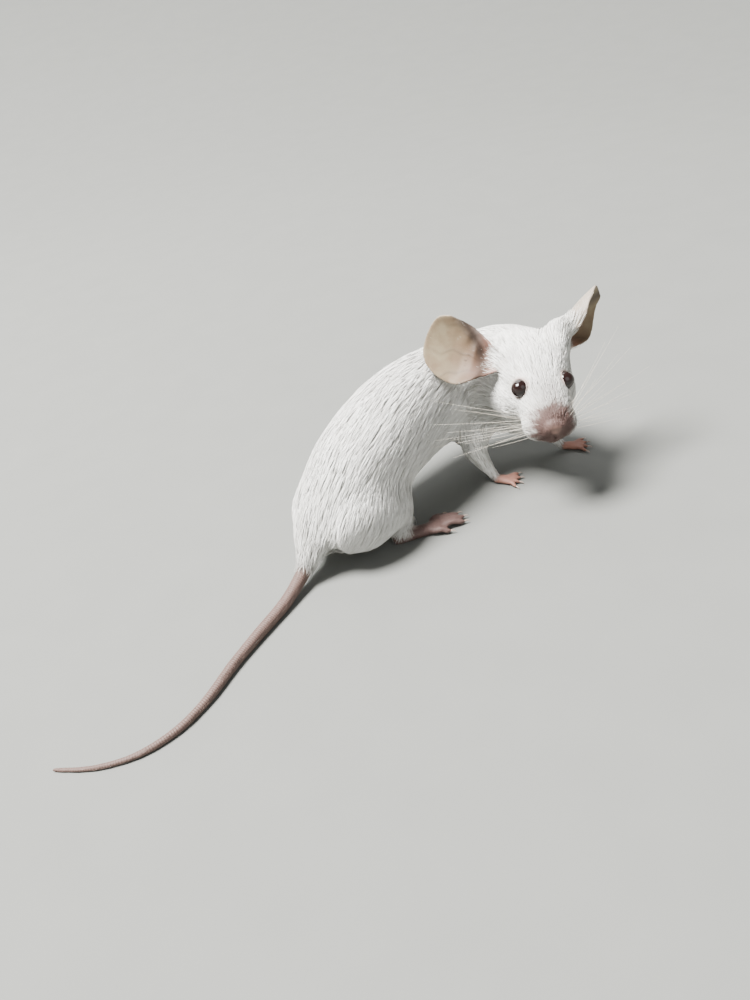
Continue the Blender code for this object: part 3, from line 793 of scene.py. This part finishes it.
CORNEA_RISE = 0.12  # how far the middle of the cornea stands out
CORNEA_START = 0.5  # cosine of the angle from the gaze at which it starts
eye_material = eye_finish()
for side, word in ((-1, "right"), (1, "left")):
    bpy.ops.object.select_all(action="DESELECT")
    bpy.ops.mesh.primitive_uv_sphere_add(segments=48, ring_count=32, radius=EYE_RADIUS * MM,
                                         location=middle("eye_" + word))
    ball = bpy.context.object
    ball.name = "eyeball_" + word
    bpy.ops.object.transform_apply(location=True, rotation=True, scale=True)
    bpy.ops.object.shade_smooth()
    gaze = HEAD_TURN.to_3x3() @ Vector((0.28, side, 0.22)).normalized()
    centre = middle("eye_" + word)
    for vertex in ball.data.vertices:
        ahead = (vertex.co - centre).normalized().dot(gaze)
        vertex.co += gaze * CORNEA_RISE * MM * max(0.0, ahead - CORNEA_START) / (1.0 - CORNEA_START)
    ball.data.materials.append(eye_material)
    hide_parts("eye_" + word)
    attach(ball, "root")
    print(ball.name, "has", len(ball.data.polygons), "faces")

# %% [markdown]
# ## Whiskers and claws
# Both are thin, tapered and curved. A cone would have to be bent afterwards, and a curve is bent already, so
# one helper makes curve splines with a bevel, thinner towards the tip, and turns them into a mesh. Whiskers
# stand in rows on the pads beside the nose and sweep outwards and back. Each toe ends in a small pale claw.

# %% Tapered, curved strands
def strands(name, lines, thickness, taper):
    """One mesh of tapered strands. Each line is a list of points of the frame."""
    curve = bpy.data.curves.new(name, "CURVE")
    curve.dimensions = "3D"
    curve.bevel_depth = thickness / 2 * MM
    curve.bevel_resolution = 1
    curve.use_fill_caps = True
    for line in lines:
        spline = curve.splines.new("POLY")
        spline.points.add(len(line) - 1)
        for number, (knot, point) in enumerate(zip(spline.points, line)):
            knot.co = (*point, 1.0)
            knot.radius = 1.0 + (taper - 1.0) * number / (len(line) - 1)
    thing = bpy.data.objects.new(name, curve)
    bpy.context.scene.collection.objects.link(thing)
    only(thing)
    bpy.ops.object.convert(target="MESH")
    return bpy.context.object


# %% Whiskers
WHISKER_ROWS = 4
WHISKER_COLUMNS = 4
WHISKER_STEPS = 12
WHISKER_THICKNESS = 0.08
WHISKER_TAPER = 0.35  # thickness of the tip, as a share of the root's
WHISKER_PALE = (0.66, 0.61, 0.52)
WHISKER_DULL = (0.46, 0.41, 0.33)
# for each side and row: how far a whisker points forward and up for every part that it points outwards
WHISKER_FAN = {-1: ((-0.25, 0.06), (-0.14, -0.06), (-0.04, -0.17), (0.06, -0.30)),
               1: ((-0.75, 0.55), (-0.45, 0.32), (-0.20, 0.14), (0.0, 0.0))}
whisker_lines = []
for side in (-1, 1):
    for row in range(WHISKER_ROWS):
        for column in range(WHISKER_COLUMNS):
            root = Vector((-2.8 - 0.95 * column,
                           side * (3.0 + 0.34 * column),
                           0.6 - 1.05 * row + 0.1 * column))
            length = 12.0 + 4.2 * column + rng.uniform(-1.5, 1.5)
            forward, rising = WHISKER_FAN[side][row]
            out = Vector((forward - 0.05 * column + rng.uniform(-0.1, 0.1), side,
                          rising + rng.uniform(-0.08, 0.08))).normalized()
            sweep = Vector((-0.6, 0.0, -0.25)) * length * 0.15
            line = []
            for step in range(WHISKER_STEPS):
                share = step / (WHISKER_STEPS - 1)
                line.append(HEAD @ (root + out * length * share + sweep * share ** 2))
            whisker_lines.append(line)
whiskers = strands("whiskers", whisker_lines, WHISKER_THICKNESS, WHISKER_TAPER)


def horn_finish(name, scale, detail, pale, dull):
    horn = Finish(name)
    return horn.shade(Base_Color=horn.between(horn.noise(scale, detail), pale, dull), Roughness=0.35)


whiskers.data.materials.append(horn_finish("pale_whisker", 300.0, 1.0, WHISKER_PALE, WHISKER_DULL))
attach(whiskers, "root")
print(len(whisker_lines), "whiskers")

# %% Claws
# Where the feet stand in the drawing. A toe is named by its root and its tip, beside the foot's own axis, and
# a finger by its angle. A claw's points are given beyond the tip of its toe: how far out, and how far up.
PELVIS = Matrix.Translation((-2.0, 8.6, 0.0)) @ turned(19.0)
HIND_SPLAY = {-1: -28.0, 1: 14.0}
HIND_TOES = (((9.6, 2.3), (13.2, 4.0)), ((11.6, 1.5), (16.6, 2.4)), ((12.0, 0.3), (17.4, 0.4)),
             ((11.8, -0.9), (16.8, -1.6)), ((9.0, -1.9), (12.4, -3.4)))
PAW_PLACE = {-1: Matrix.Translation((36.2, 6.2, 0.7)) @ turned(-38.0),
             1: Matrix.Translation((58.7, 7.1, 0.7)) @ turned(-28.0)}
FINGER_SPREAD = (-42, -14, 12, 38)
TOE_CLAW = ((0.6, 0.25), (1.1, 0.25), (1.6, 0.05), (1.95, -0.35))
FINGER_CLAW = ((-0.1, 0.30), (0.3, 0.32), (0.7, 0.12), (0.95, -0.15))
CLAW_THICKNESS = 0.42
CLAW_TAPER = 0.25
CLAW_PALE = (0.48, 0.37, 0.31)
CLAW_DULL = (0.35, 0.25, 0.21)


def claw_line(limb, tip, way, course):
    return [limb @ (tip + way * run + Vector((0.0, 0.0, rising))) for run, rising in course]


claw_lines = []
for side in (-1, 1):
    foot = DRAWING @ PELVIS @ Matrix.Translation((2.4, side * 9.8, 0.0)) @ turned(HIND_SPLAY[side])
    for (x, y), (end_x, end_y) in HIND_TOES:
        way = Vector((end_x - x, end_y - y, 0.0)).normalized()
        claw_lines.append(claw_line(foot, Vector((end_x, end_y, 0.75)), way, TOE_CLAW))
    paw = DRAWING @ PAW_PLACE[side]
    for spread_angle in FINGER_SPREAD:
        angle = math.radians(spread_angle)
        way = Vector((math.cos(angle), math.sin(angle), 0.0))
        claw_lines.append(claw_line(paw, Vector((3.2, way.y * 1.4, -0.35)) + way * 3.6, way, FINGER_CLAW))
claws = strands("claws", claw_lines, CLAW_THICKNESS, CLAW_TAPER)
claws.data.materials.append(horn_finish("claw_horn", 1500.0, 2.0, CLAW_PALE, CLAW_DULL))
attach(claws, "root")
print(len(claw_lines), "claws")

# %% [markdown]
# ## The coat
# A bump alone would leave the outline smooth, and a hair system's curves aren't exported. So the coat is made
# of tufts of mesh. Each tuft is a closed spindle of six faces: a root below the skin, a flat waist, and a tip
# that lies just above the skin, further along the lie. They overlap like tiles, and only their tips catch the
# light. Length, width and number come from the kind of flesh: long and broad on the trunk, short and fine on
# the face. There are too many for operators, so arrays hold all their corners.
#
# Tufts don't lie evenly. A few of them are leaders, and each tuft follows the nearest leader, where a gap
# across the lie counts much more than one along it. Those with one leader make a narrow lock. They share its
# lean, its height and its tone, and their tips draw together. The lock's edges are lower than its middle, and
# they are painted darker, as shade between the locks.

# %% How the coat grows on each kind of flesh
# tufts per square millimetre, length and width in millimetres, and how much of the coat's depth the tips use
GROWTH = {
    "trunk": (22.0, 4.8, 0.15, 0.9), "neck": (26.0, 3.8, 0.14, 0.9), "head": (36.0, 2.4, 0.12, 0.9),
    "nose": (40.0, 0.6, 0.07, 0.6), "ear": (0.05, 0.8, 0.05, 1.0), "hind_leg": (24.0, 3.6, 0.15, 0.9),
    "fore_leg": (28.0, 2.4, 0.13, 0.9), "hind_foot": (7.0, 0.9, 0.05, 1.0), "fore_paw": (7.0, 0.7, 0.05, 1.0),
    "tail": (5.0, 1.0, 0.045, 1.0),
}


def growth(column):
    return spread(np.array([GROWTH[kind][column] for kind in KINDS])[kinds], edges, DEPTH_BLEND)[:, 0]


crowd, length, width, stand = (growth(column) for column in range(4))
bareness = np.clip(marks["lid"] * 2.2, 0.0, 1.0)
crowd = crowd * (1.0 - bareness) * (1.0 - marks["nose"])
eye_side = sum(hump(np.linalg.norm(here - centre, axis=1) - EYE_RADIUS, 1.3)
               for centre in EYE_CENTRES.values())
face_share = smooth_step(-22.0, -2.0, here[:, 0]) * is_kind("head", "nose")
length = length * (1.0 - 0.62 * face_share) * (1.0 - 0.35 * marks["muzzle"]) * (1.0 - 0.7 * eye_side)
width = width * (1.0 - 0.40 * face_share)
crowd = crowd * (1.0 + 0.8 * face_share)
ear_outside = is_ear * (1.0 - inside)
ear_base = ear_outside * (1.0 - smooth_step(0.20, 0.52, rise))
ear_base = ear_base + 0.3 * inside * is_ear * (1.0 - smooth_step(0.1, 0.3, rise))
crowd = crowd + is_kind("ear") * (5.0 * ear_outside + 20.0 * ear_base)
length = length + 2.6 * ear_base + 0.3 * ear_outside
print("tufts are", round(length.min(), 1), "to", round(length.max(), 1), "mm long")


# %% Scatter the roots
def triangle_corners(what):
    flat = np.empty(len(skin.data.loop_triangles) * 3, np.int32)
    skin.data.loop_triangles.foreach_get(what, flat)
    return flat.reshape(-1, 3)


skin.data.calc_loop_triangles()
corner_points = triangle_corners("vertices")
corner_loops = triangle_corners("loops")
unwrapped = np.empty(len(skin.data.loops) * 2, np.float32)
skin.data.uv_layers["OFBake"].data.foreach_get("uv", unwrapped)
unwrapped = unwrapped.reshape(-1, 2)
a, b, c = (points[corner_points[:, corner]] for corner in range(3))
areas = np.linalg.norm(np.cross(b - a, c - a), axis=1) / 2 / MM ** 2
expected = areas * crowd[corner_points].mean(axis=1)
total = int(expected.sum())
picks = np.searchsorted(np.cumsum(expected), rng.uniform(0.0, expected.sum(), total))
picks = np.minimum(picks, len(expected) - 1)
share_b, share_c = rng.uniform(0, 1, total), rng.uniform(0, 1, total)
folded = share_b + share_c > 1
share_b[folded], share_c[folded] = 1 - share_b[folded], 1 - share_c[folded]
shares = np.stack((1 - share_b - share_c, share_b, share_c), 1)
print("skin area", round(areas.sum()), "mm2,", total, "tufts")


def at_roots(values):
    """Values of the skin's vertices, read at the tufts' roots."""
    values = values.reshape(len(values), -1)
    return np.einsum("tc,tcd->td", shares, values[corner_points[picks]])


roots = at_roots(points)
up_from = at_roots(normals)
up_from /= np.linalg.norm(up_from, axis=1)[:, None]
stream = at_roots(lie)
root_uv = np.einsum("tc,tcd->td", shares, unwrapped[corner_loops[picks]])
root_length = at_roots(length)[:, 0] * rng.uniform(0.7, 1.15, total) * MM
root_width = at_roots(width)[:, 0] * rng.uniform(0.7, 1.2, total) * MM
root_depth = (at_roots(depth * stand)[:, 0] + 1.3 * at_roots(ear_base)[:, 0]) * MM
root_kind = kinds[corner_points[picks, 0]]

# %% Locks: each tuft follows a leader nearby
LOCK_TUFTS = 11  # how many tufts share a leader
LOCK_CHOICES = 9  # among how many leaders a tuft chooses
LOCK_STRETCH = 7.0  # how many times longer than wide a lock is
LOCK_PINCH = 0.4  # how far tips draw together in a lock
LOCK_LEAN = 0.08  # how far a lock leans off the lie
LEAST_LIFT = 0.02  # every tip stands at least this far off the skin
across = np.cross(up_from, stream)
leaders = rng.choice(total, total // LOCK_TUFTS, replace=False)
leader_tree = KDTree(len(leaders))
for number, tuft in enumerate(leaders):
    leader_tree.insert(roots[tuft], number)
leader_tree.balance()
found = np.array([[number for spot, number, gap in leader_tree.find_n(root, LOCK_CHOICES)] for root in roots])
towards = roots[leaders][found] - roots[:, None]
sideways, lengthways, upright = (np.einsum("tkd,td->tk", towards, axis) for axis in (across, stream, up_from))
own_place = np.arange(total)
closest = np.argmin((LOCK_STRETCH * sideways) ** 2 + lengthways ** 2 + (3 * upright) ** 2, axis=1)
lock = found[own_place, closest]
lock_half = np.sqrt(LOCK_TUFTS / np.maximum(at_roots(crowd)[:, 0], 1.0) / LOCK_STRETCH) / 2 * MM
aside = np.clip(sideways[own_place, closest], -1.5 * lock_half, 1.5 * lock_half)
off_middle = aside / lock_half
lock_lean, lock_rise, lock_tone = (rng.normal(0, 1, len(leaders))[lock] for feature in range(3))
lean = 0.05 * waves(roots, 9.0 * MM, 5, 12) + LOCK_LEAN * lock_lean + rng.normal(0, 0.03, total)
stream = stream + across * (lean + LOCK_PINCH * aside / root_length)[:, None]
stream -= up_from * np.sum(stream * up_from, axis=1)[:, None]
stream /= np.linalg.norm(stream, axis=1)[:, None]
across = np.cross(up_from, stream)
lift_share = 0.62 + 0.10 * np.clip(lock_rise, -2, 2) - 0.16 * off_middle ** 2
lift = root_depth * (lift_share + rng.uniform(-0.15, 0.15, total))
lift = np.clip(lift, LEAST_LIFT * MM, None)
print(len(leaders), "locks")

# %% Lay the tips on the skin's own form
ROOT_SINK = 0.06  # how far below the skin a tuft starts
WAIST_BACK = 0.06  # share of the length by which the waist lies behind the middle
WAIST_RISE = 0.45  # share of the tip's lift at the waist
TUFT_THICKNESS = 0.30  # as a share of its width
FLOOR_GAP = 0.08  # tips stay this far above the floor
skin_tree = BVHTree.FromPolygons([Vector(point) for point in points], corner_points.tolist())
reach = roots + stream * root_length[:, None] + up_from * lift[:, None]
tips = np.empty_like(roots)
for number, point in enumerate(reach):
    spot, normal = skin_tree.find_nearest(point)[:2]
    tips[number] = spot + normal * lift[number]
tips[:, 2] = np.maximum(tips[:, 2], FLOOR_GAP * MM)
waist = (roots + tips) / 2 - stream * WAIST_BACK * root_length[:, None]
waist += up_from * (WAIST_RISE * lift + LEAST_LIFT * MM)[:, None]
half = across * (root_width / 2)[:, None]
thick = up_from * (root_width * TUFT_THICKNESS)[:, None]
sunk = roots - up_from * (ROOT_SINK * MM)
tuft_points = np.stack((sunk, waist + half, waist - half, waist + thick, tips), 1)
rounded = up_from - 0.55 * across * off_middle[:, None]  # light sees the lock as one rounded form
tuft_facing = np.stack((rounded, rounded + 0.35 * across, rounded - 0.35 * across, rounded,
                        rounded + 0.2 * stream), 1)
tuft_facing /= np.linalg.norm(tuft_facing, axis=2)[:, :, None]
TUFT_FACES = np.array(((0, 1, 2), (0, 3, 1), (0, 2, 3), (4, 2, 1), (4, 3, 2), (4, 1, 3)), np.int32)
print("the lowest corner of a tuft is", round(tuft_points[:, :, 2].min() / MM, 2), "mm above the floor")

# %% [markdown]
# ## The coat's finish
# The coat is white, but no two tufts are equal: each has its own tone. Roots are painted greyer and tips
# lighter, as shade between the hairs and light on their tips, and round the nose the coat thins out and takes
# the skin's mauve. The same marks colour skin and coat.

# %% Coat finish
COAT_SHADE = (0.36, 0.35, 0.31)
COAT_ON_MUZZLE = (0.125, 0.073, 0.063)
COAT_ON_EAR = (0.42, 0.36, 0.28)
COAT_ON_FOOT = (0.18, 0.115, 0.096)
COAT_ON_HAND = (0.30, 0.17, 0.13)
COAT_ON_TAIL = (0.18, 0.122, 0.100)


def coat_finish():
    coat = Finish("white_coat")
    # the tone mark holds each tuft's own tone and painted shade at its root and at its lock's edges
    colour = coat.between(coat.mark("tone_and_shade").limited(), COAT_SHADE, COAT_WHITE)
    colour = coat.between((coat.mark("muzzle") * 1.2).limited(), colour, COAT_ON_MUZZLE)
    colour = coat.between((coat.mark("ear_rise") * 1.3).limited() * 0.8, colour, COAT_ON_EAR)
    colour = coat.between(coat.mark("foot"), colour, COAT_ON_FOOT)
    colour = coat.between(coat.mark("hand"), colour, COAT_ON_HAND)
    colour = coat.between(coat.mark("tail"), colour, COAT_ON_TAIL)
    streak = coat.noise(2600.0, 2.0)
    return coat.shade(Base_Color=colour, Roughness=0.5 + streak * 0.2)


coat_material = coat_finish()

# %% Tone, painted shade and marks of the tufts
# the border of the mauve patch is broken up, because white tufts and mauve ones mix there
# each lock's and tuft's own tone, and painted shade: a tuft is darker the nearer it lies to its lock's edge
tone_and_shade = 0.86 + 0.15 * lock_tone - 0.18 * off_middle ** 2 + rng.normal(0, 0.12, total)
tone_and_shade = np.clip(tone_and_shade, 0.0, 1.0)
root_marks = {name: at_roots(marks[name])[:, 0] for name in ("muzzle", "ear_rise", "foot", "hand", "tail")}
patch_share = root_marks["muzzle"]
mixing = 0.5 * rng.normal(0, 1, total) + 0.5 * lock_tone
root_marks["muzzle"] = patch_share + mixing * patch_share * (1 - patch_share)
print("mean tone", round(tone_and_shade.mean(), 2))

# %% Build the coat in pieces
MOST_TUFTS = 33000  # in one piece
SHADE_ALONG_TUFT = (0.6, 0.95, 0.95, 1.0, 1.05)  # painted shade along a tuft, from the root over the waist to the tip: darker root, lighter tip
PATCH_HALF = 0.0015  # half the size of a tuft's patch on the unwrap
COAT_REGIONS = {"head": ("head", "nose"), "neck": ("neck",), "trunk": ("trunk",),
                "legs": ("hind_leg", "fore_leg"), "bare_parts": ("ear", "hind_foot", "fore_paw", "tail")}


def coat_piece(name, chosen_tufts):
    """One mesh of tufts, with their normals, marks and places on the unwrap."""
    count = len(chosen_tufts)
    vertices = tuft_points[chosen_tufts].reshape(-1, 3).astype(np.float32)
    faces = (TUFT_FACES[None] + 5 * np.arange(count)[:, None, None]).reshape(-1, 3)
    mesh = bpy.data.meshes.new(name)
    mesh.vertices.add(len(vertices))
    mesh.vertices.foreach_set("co", vertices.ravel())
    mesh.loops.add(faces.size)
    mesh.loops.foreach_set("vertex_index", faces.ravel().astype(np.int32))
    mesh.polygons.add(len(faces))
    mesh.polygons.foreach_set("loop_start", np.arange(0, faces.size, 3, dtype=np.int32))
    mesh.polygons.foreach_set("use_smooth", np.ones(len(faces), bool))
    mesh.update(calc_edges=True)
    # painted shade: the tone mark is darkened at each root and lightened at each tip
    mark(mesh, "tone_and_shade", np.repeat(tone_and_shade[chosen_tufts], 5) * np.tile(SHADE_ALONG_TUFT, count))
    for mark_name, values in root_marks.items():
        mark(mesh, mark_name, np.repeat(values[chosen_tufts], 5))
    patch = PATCH_HALF * np.array(((0.0, -1.0), (-1.0, 0.0), (1.0, 0.0), (0.0, 0.4), (0.0, 1.0)), np.float32)
    uv = mesh.uv_layers.new(name="OFBake")
    spots = root_uv[chosen_tufts][:, None, :] + patch[None]
    corner_spots = np.clip(spots.reshape(-1, 2)[faces.ravel()], 0.0, 1.0)
    uv.data.foreach_set("uv", corner_spots.astype(np.float32).ravel())
    mesh.normals_split_custom_set_from_vertices(tuft_facing[chosen_tufts].reshape(-1, 3))
    piece = bpy.data.objects.new(name, mesh)
    bpy.context.scene.collection.objects.link(piece)
    mesh.materials.append(coat_material)
    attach(piece, "root")


for region, kind_names in COAT_REGIONS.items():
    own = np.flatnonzero(np.isin(root_kind, [KINDS.index(kind) for kind in kind_names]))
    for number, start in enumerate(range(0, len(own), MOST_TUFTS)):
        coat_piece(f"coat_{region}_{number + 1}", own[start:start + MOST_TUFTS])
    print(region, "has", len(own), "tufts")
